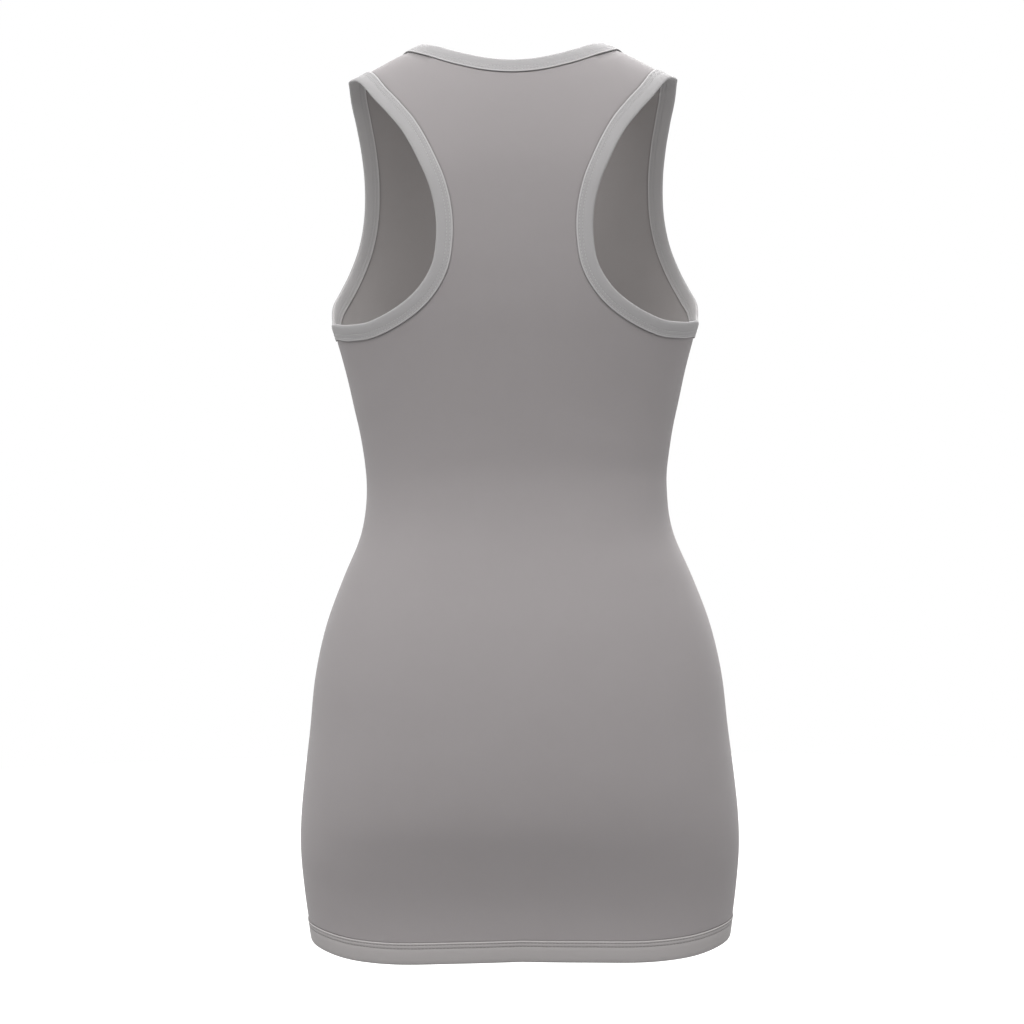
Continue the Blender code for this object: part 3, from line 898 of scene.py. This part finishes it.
def knit_finish(name, look, rows=None, seam=0.0):
    """A knit: its loops, with painted shade in their hollows, its fibres and soft changes of tone, and
    at its sewing and seams painted shade in stitched channels and along the cut edges, and a painted
    highlight on the fold beside a seam.
    """
    material = bpy.data.materials.new(name)
    material.use_nodes = True
    tree = material.node_tree
    shader = tree.nodes["Principled BSDF"]
    layout = tree.nodes.new("ShaderNodeUVMap")
    layout.uv_map = "Cloth"
    place = tree.nodes.new("ShaderNodeTexCoord")
    loops = place_group(tree, KNIT_LOOPS, layout.outputs["UV"], Wale=look.wale, Course=look.course)
    tone = place_group(tree, SOFT_TONE, place.outputs["Object"])
    colour = mix_colour(tree, tone.outputs["Tone"], look.dark, look.light)
    # Painted shade in the hollows between the knit's loops
    painted_hollow_shade = math_node(tree, "MULTIPLY", loops.outputs["Hollow"], look.hollow)
    colour = mix_colour(tree, painted_hollow_shade, colour, scaled(look.dark, HOLLOW_SHADE))
    # On strips: painted shade in the stitched channels, and a painted highlight on the rounded fold
    # beside the seam
    if rows:
        near = place_group(tree, STITCH_CHANNEL, layout.outputs["UV"],
                           First_row=rows[0], Second_row=rows[1]).outputs["Near"]
        channel = math_node(tree, "MULTIPLY", near, CHANNEL_SHADE_STRENGTH)
        colour = mix_colour(tree, channel, colour, scaled(look.dark, CHANNEL_SHADE))
        # Painted highlight on the rounded fold beside the seam, where it would catch the light
        fold = place_group(tree, STITCH_CHANNEL, layout.outputs["UV"],
                           First_row=FOLD_EDGE, Second_row=FOLD_EDGE, Reach=FOLD_REACH).outputs["Near"]
        painted_fold_highlight = math_node(tree, "MULTIPLY", fold, FOLD_HIGHLIGHT_STRENGTH)
        colour = mix_colour(tree, painted_fold_highlight, colour, scaled(look.light, FOLD_HIGHLIGHT_LIGHTNESS))
    # Painted shadow along the panel's cut edges, where the cloth tucks under a strip
    if seam:
        edge = tree.nodes.new("ShaderNodeAttribute")
        edge.attribute_name = "seam"
        painted_seam_shade = math_node(tree, "MULTIPLY", edge.outputs["Fac"], seam)
        colour = mix_colour(tree, painted_seam_shade, colour, scaled(look.dark, SEAM_SHADE))
    tree.links.new(colour, shader.inputs["Base Color"])
    rough = math_node(tree, "MULTIPLY_ADD", tone.outputs["Fibre"], 0.16, look.rough - 0.08)
    tree.links.new(rough, shader.inputs["Roughness"])
    relief = tree.nodes.new("ShaderNodeBump")
    relief.inputs["Strength"].default_value = look.bump
    relief.inputs["Distance"].default_value = 0.00012
    fuzz = math_node(tree, "MULTIPLY_ADD", tone.outputs["Fibre"], 0.4, loops.outputs["Height"])
    tree.links.new(fuzz, relief.inputs["Height"])
    tree.links.new(relief.outputs["Normal"], shader.inputs["Normal"])
    shader.inputs["Sheen Weight"].default_value = look.sheen
    shader.inputs["Sheen Roughness"].default_value = 0.45
    shader.inputs["Subsurface Weight"].default_value = look.through
    shader.inputs["Subsurface Radius"].default_value = (1.0, 1.0, 1.0)
    shader.inputs["Subsurface Scale"].default_value = 0.0012
    shader.inputs["Specular IOR Level"].default_value = 0.25
    return material


def thread_finish(name, dark, light):
    """Matt thread with a fine twist."""
    material = bpy.data.materials.new(name)
    material.use_nodes = True
    tree = material.node_tree
    shader = tree.nodes["Principled BSDF"]
    place = tree.nodes.new("ShaderNodeTexCoord")
    tone = place_group(tree, SOFT_TONE, place.outputs["Object"], Broad=60.0, Fine=2600.0)
    tree.links.new(mix_colour(tree, tone.outputs["Tone"], dark, light), shader.inputs["Base Color"])
    rough = math_node(tree, "MULTIPLY_ADD", tone.outputs["Fibre"], 0.2, 0.6)
    tree.links.new(rough, shader.inputs["Roughness"])
    relief = tree.nodes.new("ShaderNodeBump")
    relief.inputs["Strength"].default_value = 0.5
    relief.inputs["Distance"].default_value = 0.00008
    tree.links.new(tone.outputs["Fibre"], relief.inputs["Height"])
    tree.links.new(relief.outputs["Normal"], shader.inputs["Normal"])
    shader.inputs["Sheen Weight"].default_value = 0.15
    return material


PANEL_LOOK = Look(dark=(0.276, 0.258, 0.260), light=(0.302, 0.284, 0.286), hollow=0.14,
                  rough=0.86, sheen=0.10, wale=0.00090, course=0.00070, bump=0.35,
                  through=0.5)
HEM_LOOK = PANEL_LOOK._replace(dark=(0.322, 0.306, 0.304), light=(0.350, 0.334, 0.332))
BINDING_LOOK = Look(dark=(0.330, 0.322, 0.324), light=(0.355, 0.347, 0.349), hollow=0.10,
                    rough=0.78, sheen=0.08, wale=0.00070, course=0.00055, bump=0.30,
                    through=0.5)
# The bindings' inner ply: the same knit painted lighter, as painted light where the inside of the dress
# gets little light
BINDING_INSIDE_PAINTED_LIGHT_LOOK = BINDING_LOOK._replace(dark=(0.450, 0.440, 0.440),
                                            light=(0.480, 0.470, 0.470))
# The panels' wrong side: a knit's wrong side is a little paler, and this one is painted lighter still,
# as painted light for the dim inside of the dress, with stronger painted shade in its loops' hollows
WRONG_SIDE_PAINTED_LIGHT_LOOK = PANEL_LOOK._replace(dark=(0.366, 0.346, 0.341), light=(0.392, 0.372, 0.367),
                                      hollow=0.20, bump=0.45)


# Building

def build_dress():
    """Cut and sew the dress."""
    back = whole_panel(BACK_CUT, BACK_CREASES)
    front = whole_panel(FRONT_CUT, FRONT_CREASES)

    def both(panel, line):
        right = [panel.twins[vertex] for vertex in line]
        return stations(line), stations(right)

    back_neck, back_neck_right = both(back, back.neck)
    front_neck, front_neck_right = both(front, front.neck)
    back_hem, back_hem_right = both(back, back.hem)
    front_hem, front_hem_right = both(front, front.hem)
    back_arm, back_arm_right = both(back, back.arm)
    front_arm, front_arm_right = both(front, front.arm)

    left = back_neck[1:-1] + [joined(back_neck[-1], front_neck[-1])] + front_neck[-2:0:-1]
    right = front_neck_right[1:-1] + [joined(back_neck_right[-1], front_neck_right[-1])]
    right += back_neck_right[-2:0:-1]
    neck = track([back_neck[0]] + left + [front_neck[0]] + right, STRIP_STEP)

    def arm_loop(behind, ahead):
        shoulder = joined(behind[0], ahead[0])
        underarm = joined(behind[-1], ahead[-1])
        return eased([shoulder] + behind[1:-1] + [underarm] + ahead[-2:0:-1])

    left_arm = track(arm_loop(back_arm, front_arm), STRIP_STEP)
    right_loop = arm_loop(back_arm_right, front_arm_right)
    right_arm = track([right_loop[0]] + right_loop[:0:-1], STRIP_STEP)

    left = front_hem[1:-1] + [joined(front_hem[-1], back_hem[-1])] + back_hem[-2:0:-1]
    right = back_hem_right[1:-1] + [joined(front_hem_right[-1], back_hem_right[-1])]
    right += front_hem_right[-2:0:-1]
    hem = track([front_hem[0]] + left + [back_hem[0]] + right, STRIP_STEP)

    panel_knit = knit_finish("panel knit", PANEL_LOOK, seam=RIGHT_SIDE_SEAM_SHADE)
    panel_wrong_side_painted_light = knit_finish("panel knit wrong side painted light", WRONG_SIDE_PAINTED_LIGHT_LOOK, seam=WRONG_SIDE_SEAM_SHADE)
    binding_knit = knit_finish("binding knit", BINDING_LOOK, rows=BINDING_ROWS)
    binding_inside_painted_light = knit_finish("binding knit inside painted light", BINDING_INSIDE_PAINTED_LIGHT_LOOK, rows=BINDING_ROWS)
    hem_knit = knit_finish("hem knit", HEM_LOOK, rows=HEM_ROWS)
    binding_thread = thread_finish("binding thread", (0.400, 0.392, 0.394), (0.455, 0.447, 0.449))
    dress_thread = thread_finish("dress thread", (0.170, 0.160, 0.158), (0.210, 0.200, 0.197))

    back_cloth = cloth_piece("back_cloth", BACK, back.mesh, panel_knit, panel_wrong_side_painted_light)
    front_cloth = cloth_piece("front_cloth", FRONT, front.mesh, panel_knit, panel_wrong_side_painted_light)
    for piece, node in ((back_cloth, "back_panel"), (front_cloth, "front_panel")):
        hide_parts(node)

    inside = tuple(Strip(corner.across, -WALL - corner.out) for corner in BINDING_SECTION[-2::-1])
    binding_section = BINDING_SECTION + inside
    for name, node, path in (("neck", "neck_binding", neck),
                             ("left_armhole", "left_armhole_binding", left_arm),
                             ("right_armhole", "right_armhole_binding", right_arm)):
        trim = strip_piece(name + "_trim", path, binding_section, binding_knit, binding_inside_painted_light)
        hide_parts(node)
        rows = [stitch_row(path, binding_section, across, inside=face)
                for across in BINDING_ROWS for face in (False, True)]
        stitching = thread_piece(name + "_stitching", rows, binding_thread)

    turned_hem = strip_piece("turned_hem", hem, HEM_SECTION, hem_knit, hem_knit)
    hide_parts("hem_band")
    rows = [stitch_row(hem, HEM_SECTION, across) for across in HEM_ROWS]
    rows += looper_threads(hem, HEM_SECTION, HEM_ROWS)
    hem_stitching = thread_piece("hem_stitching", rows, dress_thread)


# Stage, lights and camera

FLOOR_HEIGHT = -1.25
FLOOR_RADIUS = 5.0
FLOOR_GLOW = 0.85
PIXEL = 0.0009
CAMERA_DISTANCE = 1.75
CAMERA_HEIGHT = -0.4115
DRESS_PIXEL = 516.9
PICTURE = 1024
SENSOR = 36.0
CAMERA_ROLL = math.radians(-0.52)
ROOM_LIGHT = 0.90
LIGHT_AIM = Vector((0.0, 0.0, -0.40))

Light = namedtuple("Light", "name place size power")
LIGHTS = (
    Light("key", (0.5, 2.2, 3.9), 2.2, 110),
    Light("back_fill", (0.8, 3.2, 2.4), 2.2, 48),
    Light("front_fill", (-0.6, -2.6, 2.4), 2.0, 160),
)


def build_floor():
    """A round grey floor, well below the dress, which the camera sees as white."""
    bpy.ops.mesh.primitive_circle_add(vertices=96, radius=FLOOR_RADIUS, fill_type="NGON",
                                      location=(0, 0, FLOOR_HEIGHT))
    floor = bpy.context.object
    floor.name = "floor"
    bpy.ops.object.transform_apply(location=True, rotation=True, scale=True)
    material = bpy.data.materials.new("pale floor")
    material.use_nodes = True
    tree = material.node_tree
    shader = tree.nodes["Principled BSDF"]
    place = tree.nodes.new("ShaderNodeTexCoord")
    tone = place_group(tree, SOFT_TONE, place.outputs["Object"], Broad=0.7, Fine=60.0)
    colour = mix_colour(tree, tone.outputs["Tone"], (0.30, 0.30, 0.30), (0.32, 0.32, 0.32))
    tree.links.new(colour, shader.inputs["Base Color"])
    shader.inputs["Roughness"].default_value = 0.9
    seen = tree.nodes.new("ShaderNodeLightPath")
    glow = tree.nodes.new("ShaderNodeEmission")
    glow.inputs["Color"].default_value = (1.0, 1.0, 1.0, 1.0)
    bright = math_node(tree, "MULTIPLY", seen.outputs["Is Camera Ray"], FLOOR_GLOW)
    tree.links.new(bright, glow.inputs["Strength"])
    both = tree.nodes.new("ShaderNodeAddShader")
    tree.links.new(shader.outputs[0], both.inputs[0])
    tree.links.new(glow.outputs[0], both.inputs[1])
    tree.links.new(both.outputs[0], tree.nodes["Material Output"].inputs["Surface"])
    floor.data.materials.append(material)


def build_light(light):
    """A soft square light that points at the dress."""
    data = bpy.data.lights.new(light.name, "AREA")
    data.shape = "SQUARE"
    data.size = light.size
    data.energy = light.power
    lamp = bpy.data.objects.new(light.name, data)
    lamp.location = light.place
    lamp.rotation_euler = (LIGHT_AIM - Vector(light.place)).to_track_quat("-Z", "Y").to_euler()
    bpy.context.scene.collection.objects.link(lamp)


def build_studio():
    """A room that the camera sees as white, with large soft lights high behind and in front."""
    world = bpy.data.worlds.new("white room")
    world.use_nodes = True
    sky = world.node_tree.nodes["Background"]
    sky.inputs["Color"].default_value = (1.0, 1.0, 1.0, 1.0)
    seen = world.node_tree.nodes.new("ShaderNodeLightPath")
    bright = math_node(world.node_tree, "MULTIPLY_ADD", seen.outputs["Is Camera Ray"],
                       1.0 - ROOM_LIGHT, ROOM_LIGHT)
    world.node_tree.links.new(bright, sky.inputs["Strength"])
    bpy.context.scene.world = world
    for light in LIGHTS:
        build_light(light)
    bpy.context.scene.view_settings.view_transform = "Standard"


def build_camera():
    """The photograph's view: from behind, level with the middle of the dress."""
    data = bpy.data.cameras.new("camera")
    data.sensor_width = SENSOR
    data.lens = CAMERA_DISTANCE * SENSOR / (PICTURE * PIXEL)
    camera = bpy.data.objects.new("camera", data)
    off_centre = (DRESS_PIXEL - PICTURE / 2) * PIXEL
    camera.location = (off_centre, CAMERA_DISTANCE, CAMERA_HEIGHT)
    turn = Matrix.Rotation(math.pi, 4, "Z") @ Matrix.Rotation(math.pi / 2, 4, "X")
    camera.rotation_euler = (turn @ Matrix.Rotation(CAMERA_ROLL, 4, "Z")).to_euler()
    bpy.context.scene.collection.objects.link(camera)
    bpy.context.scene.camera = camera


bpy.ops.object.select_all(action="DESELECT")
build_dress()
build_floor()
build_studio()
build_camera()
